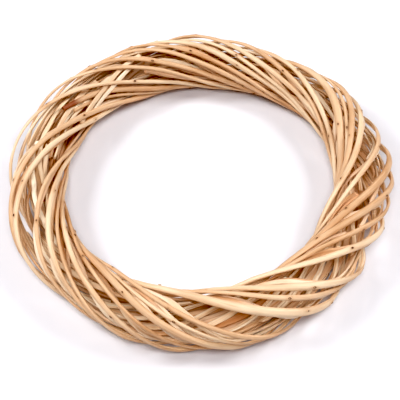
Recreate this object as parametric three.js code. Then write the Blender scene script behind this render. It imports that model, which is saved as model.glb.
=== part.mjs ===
// A round wreath of split, peeled willow rods, wound side by side into a hollow tube that closes on itself
import * as THREE from "three";

// Driving sizes in millimetres, angles in degrees.
// The ring lies flat. An angle round the ring starts at +X and runs anticlockwise seen from above.
// An angle round the tube starts at its outer side, and its crown, the highest line, is at 90.
const RING_RADIUS = 106.8;
const TUBE_RADIUS = 18.6;

// The ring and its tube are a little out of round: waves round the ring, their height and where one peaks
const RING_SWELLS = [
  { waves: 2, height: 1.5, peak: 37 },
  { waves: 3, height: 0.95, peak: 25 },
  { waves: 4, height: 0.7, peak: 17 },
];
const TUBE_SWELLS = [
  { waves: 1, height: 0.7, peak: 246 },
  { waves: 2, height: 0.9, peak: 151 },
  { waves: 4, height: 0.85, peak: 0 },
];

// Where the outer rods cross the crown, in order round the ring: the angle, and how wide the rod is there
const CROWN_PASSES = [
  [13.5, 4.6], [22.5, 4.4], [27, 2.8], [34.5, 6.2], [53, 3.7], [62.5, 3.8], [74, 4.0], [81, 2.8],
  [89.5, 4.4], [98.5, 3.5], [107, 3.8], [119, 3.8], [128, 3.4], [144, 3.4], [172.5, 4.4], [181, 4.8],
  [200, 3.7], [210, 4.8], [217.5, 2.9], [225.5, 4.6], [235, 3.1], [244, 5.4], [250.5, 3.0], [257, 3.4],
  [277, 6.5], [287.5, 4.0], [296, 5.4], [313.5, 4.8], [323, 3.6], [333, 4.9], [343.5, 5.4], [358, 4.0],
];

// Each outer rod: the passes that it makes, by their place in the list above. Two end at the top, in a cut
// butt, and a loose one hangs back on its way: there the ring angle and the phase of its winding are given.
// Where a rod stands off the tube in a bow, the ring angle is given, and how far round it reaches.
const OUTER_RODS = [
  { route: [8, 19, 31, 12] },
  { route: [23, 3, 14] },
  { route: [26, 6, 17], hang: [382, -180], bow: { at: 456, reach: 26, height: 4.2 } },
  { route: [29, 10, 21, 1], butt: [871, 81] },
  { route: [25, 5, 16] },
  { route: [28, 9, 20] },
  { route: [0, 13, 24, 4], bow: { at: 186, reach: 13, height: 1.8 } },
  { route: [15, 27, 7] },
  { route: [18, 30, 11], bow: { at: 368, reach: 16, height: 2.8 } },
  { route: [22, 2], butt: [508, 107] },
];

// Each inner strip lines the outer lanes: the passes under which it starts, goes and ends. A second strip on
// the same passes lies deeper over the crown.
const INNER_STRIPS = [
  { route: [8, 19, 31, 12] },
  { route: [12, 23, 3, 14] },
  { route: [14, 26, 6, 17] },
  { route: [17, 29, 10, 21, 1] },
  { route: [25, 5, 16, 28] },
  { route: [28, 9, 20, 0] },
  { route: [0, 13, 24, 4] },
  { route: [4, 15, 27, 7] },
  { route: [7, 18, 30] },
  { route: [30, 11, 22, 2] },
  { route: [31, 12, 23, 3, 14], second: true },
  { route: [0, 13, 24, 4], second: true },
  { route: [4, 15, 27, 7], second: true },
  { route: [7, 18, 30], second: true },
  { route: [9, 20, 0], second: true },
  { route: [11, 22, 2], second: true },
  { route: [14, 26, 6], second: true },
];
const INNER_WIDTH = 4.6;
const INNER_WIDTH_SPREAD = 1.2;
// Under an outer rod a strip is narrower: this share of the rod's width, and this at most
const COVERED_SHARE = 0.75;
const COVERED_WIDTH = 3.2;
const INNER_THICKNESS = 1.6;
const INNER_DEPTH = 4.6;
const INNER_DEPTH_SPREAD = 0.8;
const INNER_SETBACK = 2.5;
// Over the crown it keeps behind its outer rod, seen from the front and from this high above: from so many
// degrees of the winding before the place that faces the eye until as many after it
const EYE_ELEVATION = 52.5;
const COVERED_STEPS = [-38, 0, 38];
const SECOND_DEPTH = 2.1;

// Short strips tucked through the windings at one place, where they cross under the outer rods the other way:
// their knots, each a ring angle and a phase, their width and their depth. Two pass over the rods that end in
// a butt there, and one passes under them.
const CROSSING_STRIPS = [
  { knots: [[112, 70], [123.5, 97], [135, 127], [151, 158]], width: 3.0, depth: 3.2 },
  { knots: [[118, 84], [123, 103], [132, 132], [142, 158]], width: 2.8, depth: 3.2 },
  { knots: [[131, 66], [148.5, 91], [162, 106]], width: 3.4, depth: 8 },
];
const CROSSING_THICKNESS = 1.4;

// A winding leans more on the outer side of the ring than on the inner side, by this share
const LEAN = 0.28;
// How far an outer rod runs on before its first pass and after its last, and how its ends are tucked in:
// over what length, and how deep. A rod that ends in a butt dives under the crossing strips.
const LEAD = 66;
const TUCK = { length: 45, depth: 2.2 };
const BUTT_TUCK = { length: 75, depth: 5 };
const NO_TUCK = { length: 1, depth: 0 };
// A rod's width at its first and last end and at a butt, as shares of that at the nearest pass
const TIP_SHARES = { first: 0.9, last: 0.8, butt: 1.1 };
// How thick a split rod is for its width, and the most that one lies below the outside of the tube
const THICKNESS_SHARE = 0.56;
const THICKNESS_MORE = 0.15;
const MOST_DEPTH = 1.2;
// Outer rods wander in and out as they go, in slow waves of this height and these lengths round the ring
const WANDER = 0.7;
const WANDER_SPANS = [47, 83];
// A rod turns on itself a little along its length
const TWIST = 18;
const TWIST_LENGTH = 260;
// Rods are cut into stretches about this long, and lie about this far apart where they touch
const STRETCH = 12;
const CLEARANCE = 0.5;
// The underside is pressed this much flatter than the tube is round, by the wreath's own weight, and the
// lowest rods are worn flat by this much
const PRESSED = 0.5;
const WORN = 0.3;

// The outlines of a split rod and of a flat strip, as shares of width and thickness: outward is up.
// Touching is felt by round cores side by side along each rod: how far out of the middle each lies, as a
// share of the way to the edge, and its radius and its lift as shares of the thickness.
const HALF_ROUND = {
  outline: [[-0.42, -0.5], [0.42, -0.5], [0.5, -0.15], [0.18, 0.45], [-0.18, 0.45], [-0.5, -0.15]],
  cores: [[0, 0.5, 0], [0.5, 0.42, -0.08], [-0.5, 0.42, -0.08], [1, 0.33, -0.17], [-1, 0.33, -0.17]],
};
const FLAT_STRIP = {
  outline: [[-0.42, -0.5], [0.42, -0.5], [0.39, 0.5], [-0.39, 0.5]],
  cores: [[0, 0.5, 0], [0.5, 0.5, 0], [-0.5, 0.5, 0], [1, 0.5, 0], [-1, 0.5, 0]],
};

const RADIANS = Math.PI / 180;

// A repeatable draw between 0 and 1
function makeDraw(seed) {
  let state = seed;
  return () => {
    state = (state * 1664525 + 1013904223) % 4294967296;
    return state / 4294967296;
  };
}

function swell(swells, ringAngle) {
  let sum = 0;
  for (const { waves, height, peak } of swells) {
    sum += height * Math.cos(waves * (ringAngle - peak) * RADIANS);
  }
  return sum;
}

const ringRadiusAt = (ringAngle) => RING_RADIUS + swell(RING_SWELLS, ringAngle);
const tubeRadiusAt = (ringAngle) => TUBE_RADIUS + swell(TUBE_SWELLS, ringAngle);

// The angle round the tube at a phase of the winding, which has the lean on the outer side in it
function tubeAngle(phase) {
  const half = phase * RADIANS / 2;
  return 2 * Math.atan2(Math.sqrt(1 + LEAN) * Math.sin(half), Math.sqrt(1 - LEAN) * Math.cos(half));
}
const CROWN_PHASE = Math.acos(LEAN) / RADIANS;

// The phase of the winding at an angle round the tube
function phaseAt(around) {
  const half = around / 2;
  return 2 * Math.atan2(Math.sqrt(1 - LEAN) * Math.sin(half), Math.sqrt(1 + LEAN) * Math.cos(half)) / RADIANS;
}

// A point of the winding, depth millimetres inside the outside of the tube
function windingPoint(ringAngle, phase, depth) {
  const around = tubeAngle(phase);
  const reach = tubeRadiusAt(ringAngle) - depth;
  const out = ringRadiusAt(ringAngle) + reach * Math.cos(around);
  const turn = ringAngle * RADIANS;
  return new THREE.Vector3(out * Math.cos(turn), out * Math.sin(turn), reach * Math.sin(around));
}

// The direction to the eye: outward from the ring, up, and onward round the ring
function towardEye(ringAngle) {
  const level = Math.cos(EYE_ELEVATION * RADIANS);
  const turn = ringAngle * RADIANS;
  const up = Math.sin(EYE_ELEVATION * RADIANS);
  return { out: -level * Math.sin(turn), up, onward: -level * Math.cos(turn) };
}

// The ring angle and phase of the point that the eye would see at this depth behind a point of the outside
function behindPoint(ringAngle, phase, depth) {
  const eye = towardEye(ringAngle);
  const around = tubeAngle(phase);
  const reach = tubeRadiusAt(ringAngle);
  const out = reach * Math.cos(around);
  const up = reach * Math.sin(around);
  const square = eye.out ** 2 + eye.up ** 2;
  const facing = out * eye.out + up * eye.up;
  const root = facing ** 2 - square * (reach ** 2 - (reach - depth) ** 2);
  const back = (facing - Math.sqrt(Math.max(root, 0))) / square;
  const inner = phaseAt(Math.atan2(up - back * eye.up, out - back * eye.out));
  const turns = Math.round((phase - inner) / 360);
  return [ringAngle - back * eye.onward / ringRadiusAt(ringAngle) / RADIANS, inner + 360 * turns];
}

const smooth = (x) => x * x * (3 - 2 * x);

// A value that runs smoothly through the knots, level at each
function easedThrough(knots, x) {
  if (x <= knots[0][0]) return knots[0][1];
  for (let k = 1; k < knots.length; k++) {
    if (x > knots[k][0]) continue;
    const share = (x - knots[k - 1][0]) / (knots[k][0] - knots[k - 1][0]);
    return THREE.MathUtils.lerp(knots[k - 1][1], knots[k][1], smooth(share));
  }
  return knots[knots.length - 1][1];
}

// The phase of a winding that goes through its knots, each a ring angle and a phase: a cubic between them,
// straight before the first and after the last
function phaseThrough(knots, x) {
  const last = knots.length - 1;
  const slope = (k) => {
    const [angleA, phaseA] = knots[Math.max(k - 1, 0)];
    const [angleB, phaseB] = knots[Math.min(k + 1, last)];
    return (phaseB - phaseA) / (angleB - angleA);
  };
  if (x <= knots[0][0]) return knots[0][1] + slope(0) * (x - knots[0][0]);
  if (x >= knots[last][0]) return knots[last][1] + slope(last) * (x - knots[last][0]);
  let k = 0;
  while (x > knots[k + 1][0]) k++;
  const span = knots[k + 1][0] - knots[k][0];
  const u = (x - knots[k][0]) / span;
  return (2 * u ** 3 - 3 * u ** 2 + 1) * knots[k][1] + (u ** 3 - 2 * u ** 2 + u) * slope(k) * span
    + (3 * u ** 2 - 2 * u ** 3) * knots[k + 1][1] + (u ** 3 - u ** 2) * slope(k + 1) * span;
}

// Walks a course given as a function of the ring angle and cuts it into even stretches
function layCourse({ name, from, to, knots, widthAt, thicknessAt, depthAt, tuck, section, draw }) {
  const fine = [];
  let travelled = 0;
  const stepAngle = 0.5;
  const steps = Math.round((to - from) / stepAngle);
  for (let k = 0; k <= steps; k++) {
    const ringAngle = from + (to - from) * k / steps;
    const point = windingPoint(ringAngle, phaseThrough(knots, ringAngle), depthAt(ringAngle));
    if (k > 0) travelled += point.distanceTo(fine[k - 1].point);
    fine.push({ ringAngle, point, travelled });
  }
  const count = Math.round(travelled / STRETCH);
  const twistStart = draw() * 360;
  const nodes = [];
  let at = 0;
  for (let k = 0; k <= count; k++) {
    const along = travelled * k / count;
    while (at < fine.length - 2 && fine[at + 1].travelled < along) at++;
    const share = (along - fine[at].travelled) / (fine[at + 1].travelled - fine[at].travelled);
    const ringAngle = THREE.MathUtils.lerp(fine[at].ringAngle, fine[at + 1].ringAngle, share);
    const toEnd = Math.min(along, travelled - along);
    const tucked = toEnd < tuck.length ? tuck.depth * smooth(1 - toEnd / tuck.length) : 0;
    const width = widthAt(ringAngle);
    const thickness = thicknessAt(width);
    const below = depthAt(ringAngle) + thickness / 2 + tucked;
    nodes.push({
      home: windingPoint(ringAngle, phaseThrough(knots, ringAngle), below),
      width,
      thickness,
      twist: TWIST * Math.sin((twistStart + 360 * along / TWIST_LENGTH) * RADIANS),
    });
  }
  return { name, section, nodes };
}

const twoDigits = (number) => String(number).padStart(2, "0");

// The ring angles and widths of a route's passes, counted on past the full circle
function followRoute(route) {
  let turned = 0;
  let before = -1;
  return route.map((index) => {
    const [angle, width] = CROWN_PASSES[index];
    if (index < before) turned += 360;
    before = index;
    return { angle: angle + turned, width };
  });
}

// An outer rod, through its passes over the crown
function outerRod(plan, number, draw) {
  const passes = followRoute(plan.route);
  const knots = passes.map(({ angle }, k) => [angle, CROWN_PHASE - 360 * k]);
  const widths = passes.map(({ angle, width }) => [angle, width]);
  const last = passes.length - 1;
  const from = knots[0][0] - LEAD;
  const to = plan.butt ? plan.butt[0] : knots[last][0] + LEAD;
  if (plan.butt) knots.push([to, plan.butt[1] - 360 * (last + 1)]);
  if (plan.hang) knots.splice(1, 0, plan.hang);
  widths.unshift([from, widths[0][1] * TIP_SHARES.first]);
  widths.push([to, widths[last + 1][1] * (plan.butt ? TIP_SHARES.butt : TIP_SHARES.last)]);
  const depth = MOST_DEPTH * draw();
  const waves = WANDER_SPANS.map((span) => ({ span, start: 360 * draw() }));
  const bow = plan.bow ?? { at: 0, reach: 1, height: 0 };
  const depthAt = (ringAngle) => waves.reduce(
    (sum, { span, start }) => sum + WANDER * Math.sin((start + 360 * ringAngle / span) * RADIANS),
    depth - bow.height * Math.exp(-(((ringAngle - bow.at) / bow.reach) ** 2)),
  );
  return layCourse({
    name: `outer_rod_${twoDigits(number)}`,
    from,
    to,
    knots,
    widthAt: (ringAngle) => easedThrough(widths, ringAngle),
    thicknessAt: (width) => width * THICKNESS_SHARE + THICKNESS_MORE,
    depthAt,
    tuck: plan.butt ? BUTT_TUCK : TUCK,
    section: HALF_ROUND,
    draw,
  });
}

// Where a rod crosses the bottom: half way between its passes over the crown
function bottomPasses(route) {
  const passes = followRoute(route);
  return passes.slice(1).map(({ angle }, k) => (passes[k].angle + angle) / 2);
}

// Where each strip crosses the bottom: the strips that come down between two outer rods lie there evenly
function spreadBottoms() {
  const outer = OUTER_RODS.flatMap(({ route }) => bottomPasses(route).map((angle) => angle % 360));
  outer.sort((a, b) => a - b);
  const spaces = outer.map(() => []);
  const places = INNER_STRIPS.map(({ route }) => bottomPasses(route));
  places.forEach((angles, strip) => {
    angles.forEach((angle, k) => {
      const space = outer.findLastIndex((rod) => rod <= angle % 360);
      spaces[space < 0 ? outer.length - 1 : space].push({ strip, k, angle });
    });
  });
  spaces.forEach((space, index) => {
    const start = outer[index];
    const end = index + 1 < outer.length ? outer[index + 1] : outer[0] + 360;
    const past = ({ angle }) => (angle - start + 720) % 360;
    space.sort((a, b) => past(a) - past(b));
    space.forEach((pass, place) => {
      const share = (place + 1) / (space.length + 1);
      places[pass.strip][pass.k] = pass.angle - past(pass) + share * (end - start);
    });
  });
  return places;
}

// Where a strip goes behind an outer rod's pass over the crown, a step of the winding past the place that
// faces the eye. The span is the ring angle between two passes.
function coveredKnot(passAngle, span, step, depth) {
  const eye = towardEye(passAngle);
  const phase = phaseAt(Math.atan2(eye.up, eye.out)) - step;
  return behindPoint(passAngle + (CROWN_PHASE - phase) * span / 360, phase, depth);
}

// An inner strip: behind an outer rod at each crown pass, and between two outer rods at the bottom
function innerStrip(plan, number, bottoms, draw) {
  const passes = followRoute(plan.route);
  const last = passes.length - 1;
  const width = INNER_WIDTH + INNER_WIDTH_SPREAD * (draw() - 0.5);
  const depth = INNER_DEPTH + INNER_DEPTH_SPREAD * (draw() - 0.5);
  const second = plan.second ? SECOND_DEPTH : 0;
  const knots = [];
  const widths = [];
  passes.forEach((pass, k) => {
    if (k > 0) {
      knots.push([bottoms[k - 1], CROWN_PHASE - 360 * k + 180]);
      widths.push([bottoms[k - 1], width]);
    }
    const steps = COVERED_STEPS.filter((step) => (k > 0 || step >= 0) && (k < last || step <= 0));
    for (const step of steps) {
      const span = Math.abs(passes[k > 0 ? k - 1 : 1].angle - pass.angle);
      const [ringAngle, phase] = coveredKnot(pass.angle, span, step, depth + second + INNER_THICKNESS / 2);
      knots.push([ringAngle, phase - 360 * k]);
      widths.push([ringAngle, Math.min(COVERED_SHARE * pass.width, COVERED_WIDTH)]);
    }
  });
  const fromCrown = (ringAngle) => (phaseThrough(knots, ringAngle) - CROWN_PHASE) * RADIANS;
  return layCourse({
    name: `inner_strip_${twoDigits(number)}`,
    from: knots[0][0] + INNER_SETBACK,
    to: knots[knots.length - 1][0] - INNER_SETBACK,
    knots,
    widthAt: (ringAngle) => easedThrough(widths, ringAngle),
    thicknessAt: () => INNER_THICKNESS,
    depthAt: (ringAngle) => depth + second * (1 + Math.cos(fromCrown(ringAngle))) / 2,
    tuck: NO_TUCK,
    section: FLAT_STRIP,
    draw,
  });
}

function crossingStrip({ knots, width, depth }, number, draw) {
  return layCourse({
    name: `crossing_strip_${twoDigits(number)}`,
    from: knots[0][0],
    to: knots[knots.length - 1][0],
    knots,
    widthAt: () => width,
    thicknessAt: () => CROSSING_THICKNESS,
    depthAt: () => depth,
    tuck: NO_TUCK,
    section: FLAT_STRIP,
    draw,
  });
}

// All courses as flat lists, so that the settling below is quick
function gather(courses) {
  const total = courses.reduce((sum, course) => sum + course.nodes.length, 0);
  const all = {
    total,
    rod: new Int32Array(total),
    home: new Float64Array(3 * total),
    place: new Float64Array(3 * total),
    across: new Float64Array(3 * total),
    outward: new Float64Array(3 * total),
    width: new Float64Array(total),
    thickness: new Float64Array(total),
    twist: new Float64Array(total),
    cores: [],
  };
  let k = 0;
  courses.forEach((course, number) => {
    for (const node of course.nodes) {
      all.rod[k] = number;
      node.home.toArray(all.home, 3 * k);
      node.home.toArray(all.place, 3 * k);
      all.width[k] = node.width;
      all.thickness[k] = node.thickness;
      all.twist[k] = node.twist * RADIANS;
      all.cores.push(course.section.cores);
      k++;
    }
  });
  return all;
}

// The section of a rod at each node: across its flat face, and outward from the middle of the tube
function turnSections(all) {
  const { total, rod, place, across, outward, twist } = all;
  const tangent = new THREE.Vector3();
  const out = new THREE.Vector3();
  const side = new THREE.Vector3();
  for (let k = 0; k < total; k++) {
    const before = k > 0 && rod[k - 1] === rod[k] ? k - 1 : k;
    const after = k < total - 1 && rod[k + 1] === rod[k] ? k + 1 : k;
    tangent.set(
      place[3 * after] - place[3 * before],
      place[3 * after + 1] - place[3 * before + 1],
      place[3 * after + 2] - place[3 * before + 2],
    ).normalize();
    out.set(place[3 * k], place[3 * k + 1], place[3 * k + 2]);
    const ringAngle = Math.atan2(out.y, out.x);
    const middle = ringRadiusAt(ringAngle / RADIANS);
    out.x -= middle * Math.cos(ringAngle);
    out.y -= middle * Math.sin(ringAngle);
    out.addScaledVector(tangent, -out.dot(tangent)).normalize();
    out.applyAxisAngle(tangent, twist[k]);
    side.crossVectors(tangent, out);
    out.toArray(outward, 3 * k);
    side.toArray(across, 3 * k);
  }
}

// The settling: its rounds, the rods' size at first and the share of the rounds in which they swell to full
// size, how often the pairs that may touch are listed and how much further apart than a stretch they may be,
// the share of a shortfall that one push makes up, and how strongly the rods even out and go home at first
const SETTLING = {
  rounds: 900, smallest: 0.1, swelling: 0.55, listEvery: 20, listBeyond: 8, push: 0.6,
  evening: 0.3, leastEvening: 0.02, homing: 0.02,
};
// Stretches of one rod nearer to each other than this many aren't held apart
const SAME_ROD_SKIP = 4;

// The cores of every rod at their size for now
function placeCores(all, growth) {
  const { total, across, outward, width, thickness, cores } = all;
  return HALF_ROUND.cores.map((unused, core) => {
    const offset = new Float64Array(3 * total);
    const radius = new Float64Array(total);
    for (let k = 0; k < total; k++) {
      const [out, size, rise] = cores[k][core];
      const r = size * thickness[k] * growth;
      const sideways = out * (width[k] / 2 * growth - r);
      const lift = rise * thickness[k] * growth;
      for (let axis = 0; axis < 3; axis++) {
        offset[3 * k + axis] = sideways * across[3 * k + axis] + lift * outward[3 * k + axis];
      }
      radius[k] = r;
    }
    return { offset, radius };
  });
}

// Pairs of stretches that are near enough to touch soon
function nearPairs(all, reach) {
  const { total, rod, place } = all;
  const cells = new Map();
  const starts = [];
  const key = (...cell) => cell.join(" ");
  for (let k = 0; k < total - 1; k++) {
    if (rod[k] !== rod[k + 1]) continue;
    const cell = [0, 1, 2].map((axis) => {
      const middle = (place[3 * k + axis] + place[3 * k + 3 + axis]) / 2;
      return Math.floor(middle / reach);
    });
    starts.push([k, cell]);
    const name = key(...cell);
    if (!cells.has(name)) cells.set(name, []);
    cells.get(name).push(k);
  }
  const pairs = [];
  for (const [k, [x, y, z]] of starts) {
    for (let dx = -1; dx <= 1; dx++) {
      for (let dy = -1; dy <= 1; dy++) {
        for (let dz = -1; dz <= 1; dz++) {
          for (const other of cells.get(key(x + dx, y + dy, z + dz)) ?? []) {
            if (other <= k || (rod[other] === rod[k] && other - k < SAME_ROD_SKIP)) continue;
            let square = 0;
            for (let axis = 0; axis < 3; axis++) {
              const apart = place[3 * k + axis] + place[3 * k + 3 + axis]
                - place[3 * other + axis] - place[3 * other + 3 + axis];
              square += apart * apart / 4;
            }
            if (square < reach * reach) pairs.push(k, other);
          }
        }
      }
    }
  }
  return Int32Array.from(pairs);
}

// Pushes two stretches apart where their cores are closer than they may be, and returns their clearance
function partPair(all, a, b, coreA, coreB, gap) {
  const { place } = all;
  const oa = coreA.offset;
  const ob = coreB.offset;
  const ax = place[3 * a] + oa[3 * a];
  const ay = place[3 * a + 1] + oa[3 * a + 1];
  const az = place[3 * a + 2] + oa[3 * a + 2];
  const ux = place[3 * a + 3] + oa[3 * a + 3] - ax;
  const uy = place[3 * a + 4] + oa[3 * a + 4] - ay;
  const uz = place[3 * a + 5] + oa[3 * a + 5] - az;
  const bx = place[3 * b] + ob[3 * b];
  const by = place[3 * b + 1] + ob[3 * b + 1];
  const bz = place[3 * b + 2] + ob[3 * b + 2];
  const vx = place[3 * b + 3] + ob[3 * b + 3] - bx;
  const vy = place[3 * b + 4] + ob[3 * b + 4] - by;
  const vz = place[3 * b + 5] + ob[3 * b + 5] - bz;
  const wx = ax - bx;
  const wy = ay - by;
  const wz = az - bz;
  const uu = ux * ux + uy * uy + uz * uz;
  const vv = vx * vx + vy * vy + vz * vz;
  const uv = ux * vx + uy * vy + uz * vz;
  const uw = ux * wx + uy * wy + uz * wz;
  const vw = vx * wx + vy * wy + vz * wz;
  const spread = uu * vv - uv * uv;
  let s = spread > 1e-9 ? (uv * vw - vv * uw) / spread : 0.5;
  s = s < 0 ? 0 : s > 1 ? 1 : s;
  let t = (uv * s + vw) / vv;
  if (t < 0) {
    t = 0;
    s = -uw / uu;
    s = s < 0 ? 0 : s > 1 ? 1 : s;
  } else if (t > 1) {
    t = 1;
    s = (uv - uw) / uu;
    s = s < 0 ? 0 : s > 1 ? 1 : s;
  }
  const dx = wx + s * ux - t * vx;
  const dy = wy + s * uy - t * vy;
  const dz = wz + s * uz - t * vz;
  const ra = coreA.radius[a] * (1 - s) + coreA.radius[a + 1] * s;
  const rb = coreB.radius[b] * (1 - t) + coreB.radius[b + 1] * t;
  const wanted = ra + rb + gap;
  const square = dx * dx + dy * dy + dz * dz;
  const distance = Math.sqrt(square);
  const shortfall = wanted - distance;
  if (shortfall <= 0 || distance < 1e-6) return -shortfall;
  const weight = (1 - s) * (1 - s) + s * s + (1 - t) * (1 - t) + t * t;
  const push = SETTLING.push * shortfall / weight / distance;
  const shares = [(1 - s) * push, s * push, -(1 - t) * push, -t * push];
  const starts = [3 * a, 3 * a + 3, 3 * b, 3 * b + 3];
  for (let k = 0; k < 4; k++) {
    place[starts[k]] += shares[k] * dx;
    place[starts[k] + 1] += shares[k] * dy;
    place[starts[k] + 2] += shares[k] * dz;
  }
  return -shortfall;
}

// Parts two stretches by all their cores, or by none where the middles are too far apart for any to touch
function partStretches(all, a, b, cores, gap, growth) {
  const [middle] = cores;
  const { width } = all;
  const edges = (Math.max(width[a], width[a + 1]) + Math.max(width[b], width[b + 1])) / 2 * growth;
  const clear = partPair(all, a, b, middle, middle, gap);
  if (clear > edges - middle.radius[a] - middle.radius[b]) return;
  for (const coreA of cores) {
    for (const coreB of cores) {
      if (coreA !== middle || coreB !== middle) partPair(all, a, b, coreA, coreB, gap);
    }
  }
}

// Rods bend smoothly: each node is drawn towards the mean of its neighbours' moves, and a little back home
function spring(all, evenness, homing) {
  const { total, rod, home, place } = all;
  const move = new Float64Array(3 * total);
  for (let k = 0; k < 3 * total; k++) move[k] = place[k] - home[k];
  for (let k = 0; k < total; k++) {
    const before = k > 0 && rod[k - 1] === rod[k] ? k - 1 : k;
    const after = k < total - 1 && rod[k + 1] === rod[k] ? k + 1 : k;
    for (let axis = 0; axis < 3; axis++) {
      const mean = (move[3 * before + axis] + move[3 * after + axis]) / 2;
      const here = move[3 * k + axis];
      place[3 * k + axis] += evenness * (mean - here) - homing * here;
    }
  }
}

// Keeps the underside of every rod above the surface that the wreath lies on
function liftOff(all, cores, floor) {
  const { total, place } = all;
  for (const { offset, radius } of cores) {
    for (let k = 0; k < total; k++) {
      const under = place[3 * k + 2] + offset[3 * k + 2] - radius[k];
      if (under < floor) place[3 * k + 2] += floor - under;
    }
  }
}

// Lets the rods, thin at first, swell to their full size and push each other aside
function settle(all) {
  const { rounds, smallest, swelling, listEvery, listBeyond, evening, leastEvening, homing } = SETTLING;
  const floor = PRESSED - TUBE_RADIUS;
  let pairs = null;
  for (let round = 0; round < rounds; round++) {
    const progress = round / rounds;
    const growth = Math.min(1, smallest + (1 - smallest) * progress / swelling);
    const slack = (1 - Math.max(0, (progress - swelling) / (1 - swelling))) ** 2;
    turnSections(all);
    const cores = placeCores(all, growth);
    if (round % listEvery === 0) pairs = nearPairs(all, STRETCH + listBeyond);
    for (let k = 0; k < pairs.length; k += 2) {
      partStretches(all, pairs[k], pairs[k + 1], cores, CLEARANCE * growth, growth);
    }
    liftOff(all, cores, floor);
    spring(all, evening * slack + leastEvening, homing * slack);
  }
  turnSections(all);
}

// The corners of a rod's sections, and the middles of its two ends
function rodCorners(all, outline, from, count) {
  const middle = (k) => new THREE.Vector3().fromArray(all.place, 3 * k);
  const corners = [];
  for (let k = from; k < from + count; k++) {
    const across = new THREE.Vector3().fromArray(all.across, 3 * k);
    const outward = new THREE.Vector3().fromArray(all.outward, 3 * k);
    for (const [sideways, lift] of outline) {
      const corner = middle(k).addScaledVector(across, sideways * all.width[k]);
      corners.push(corner.addScaledVector(outward, lift * all.thickness[k]));
    }
  }
  return [...corners, middle(from), middle(from + count - 1)];
}

// The closed body through those corners: its sides, and a fan of faces at each end
function rodGeometry(corners, sides) {
  const faces = [];
  const start = corners.length - 2;
  const lastRing = start - sides;
  for (let side = 0; side < sides; side++) {
    const next = (side + 1) % sides;
    for (let ring = 0; ring < lastRing; ring += sides) {
      const a = ring + side;
      const b = ring + next;
      faces.push(a, b + sides, b, a, a + sides, b + sides);
    }
    faces.push(start, side, next, start + 1, lastRing + next, lastRing + side);
  }
  const geometry = new THREE.BufferGeometry();
  geometry.setFromPoints(corners);
  geometry.setIndex(faces);
  return geometry;
}

// Colours of the peeled bark side, warm tan to pale straw
const TONES = ["#dcb07a", "#e0b988", "#d6a56c", "#e3c294", "#dab283"];
const INNER_TONE = "#e6cda4";
const MATT = { roughness: 0.6, metalness: 0 };

const draw = makeDraw(20);
const courses = OUTER_RODS.map((plan, index) => outerRod(plan, index + 1, draw));
const bottoms = spreadBottoms();
INNER_STRIPS.forEach((plan, index) => courses.push(innerStrip(plan, index + 1, bottoms[index], draw)));
CROSSING_STRIPS.forEach((plan, index) => courses.push(crossingStrip(plan, index + 1, draw)));
const all = gather(courses);
settle(all);

let from = 0;
const rods = courses.map(({ name, section, nodes }) => {
  const corners = rodCorners(all, section.outline, from, nodes.length);
  from += nodes.length;
  return { name, corners, sides: section.outline.length };
});

// The origin is on the surface, under the middle of the wreath. What would lie lower is flat on the surface.
const box = new THREE.Box3().setFromPoints(rods.flatMap(({ corners }) => corners));
const middle = box.getCenter(new THREE.Vector3());
const shift = new THREE.Vector3(-middle.x, -middle.y, -box.min.z - WORN);
const group = new THREE.Group();
rods.forEach(({ name, corners, sides }, index) => {
  for (const corner of corners) {
    corner.add(shift);
    corner.z = Math.max(corner.z, 0);
  }
  const outer = index < OUTER_RODS.length;
  const material = new THREE.MeshStandardMaterial({
    color: outer ? TONES[index % TONES.length] : INNER_TONE,
    ...MATT,
  });
  const mesh = new THREE.Mesh(rodGeometry(corners, sides), material);
  mesh.name = name;
  group.add(mesh);
});

export default group;
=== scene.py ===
# A round wicker wreath: split, peeled willow rods wound into a hollow tube that closes on itself
import math
import random

import bmesh
import bpy
import numpy as np
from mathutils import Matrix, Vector


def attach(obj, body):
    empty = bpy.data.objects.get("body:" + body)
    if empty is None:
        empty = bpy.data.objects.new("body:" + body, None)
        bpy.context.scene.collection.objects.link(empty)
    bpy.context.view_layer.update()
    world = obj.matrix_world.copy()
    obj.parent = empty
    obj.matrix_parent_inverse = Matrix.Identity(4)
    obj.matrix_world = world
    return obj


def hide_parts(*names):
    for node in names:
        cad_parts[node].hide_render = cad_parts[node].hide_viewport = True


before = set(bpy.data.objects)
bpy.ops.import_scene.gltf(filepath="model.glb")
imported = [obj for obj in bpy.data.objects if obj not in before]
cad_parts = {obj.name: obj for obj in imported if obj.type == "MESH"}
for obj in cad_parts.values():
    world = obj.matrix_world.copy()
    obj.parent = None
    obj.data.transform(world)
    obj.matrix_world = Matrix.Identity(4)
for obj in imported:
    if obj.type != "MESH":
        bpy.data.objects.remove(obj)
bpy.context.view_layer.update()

MM = 0.001

# The middle of the ring, in the frame of the part, and the radius of the tube's middle line
RING_CENTRE = Vector((-0.68, 0.61, 17.9)) * MM
RING_RADIUS = 106.8 * MM


# Camera

# The photograph looks down on the wreath from the front
CAMERA_FROM_CENTRE = Vector((0.53, -483.5, 609.3)) * MM
AIM_FROM_CENTRE = Vector((0.53, -16.6, 0)) * MM
LENS = 106.7
SENSOR_WIDTH = 36
NEAR_CLIP = 0.01


def make_camera():
    data = bpy.data.cameras.new("camera")
    data.lens = LENS
    data.sensor_width = SENSOR_WIDTH
    data.clip_start = NEAR_CLIP
    camera = bpy.data.objects.new("camera", data)
    camera.location = RING_CENTRE + CAMERA_FROM_CENTRE
    aim = RING_CENTRE + AIM_FROM_CENTRE - camera.location
    camera.rotation_euler = aim.to_track_quat("-Z", "Y").to_euler()
    bpy.context.scene.collection.objects.link(camera)
    bpy.context.scene.camera = camera


make_camera()


# The course of each rod, read from its solid

# How many sides the section of a solid has
OUTER_SIDES = 6
STRIP_SIDES = 4
# How wide the flat edge of a solid's section is, as a share of the rod's width, and how high the section is
# as a share of the rod's thickness
FLAT_SHARE = 0.84
OUTER_HEIGHT_SHARE = 0.95
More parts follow.
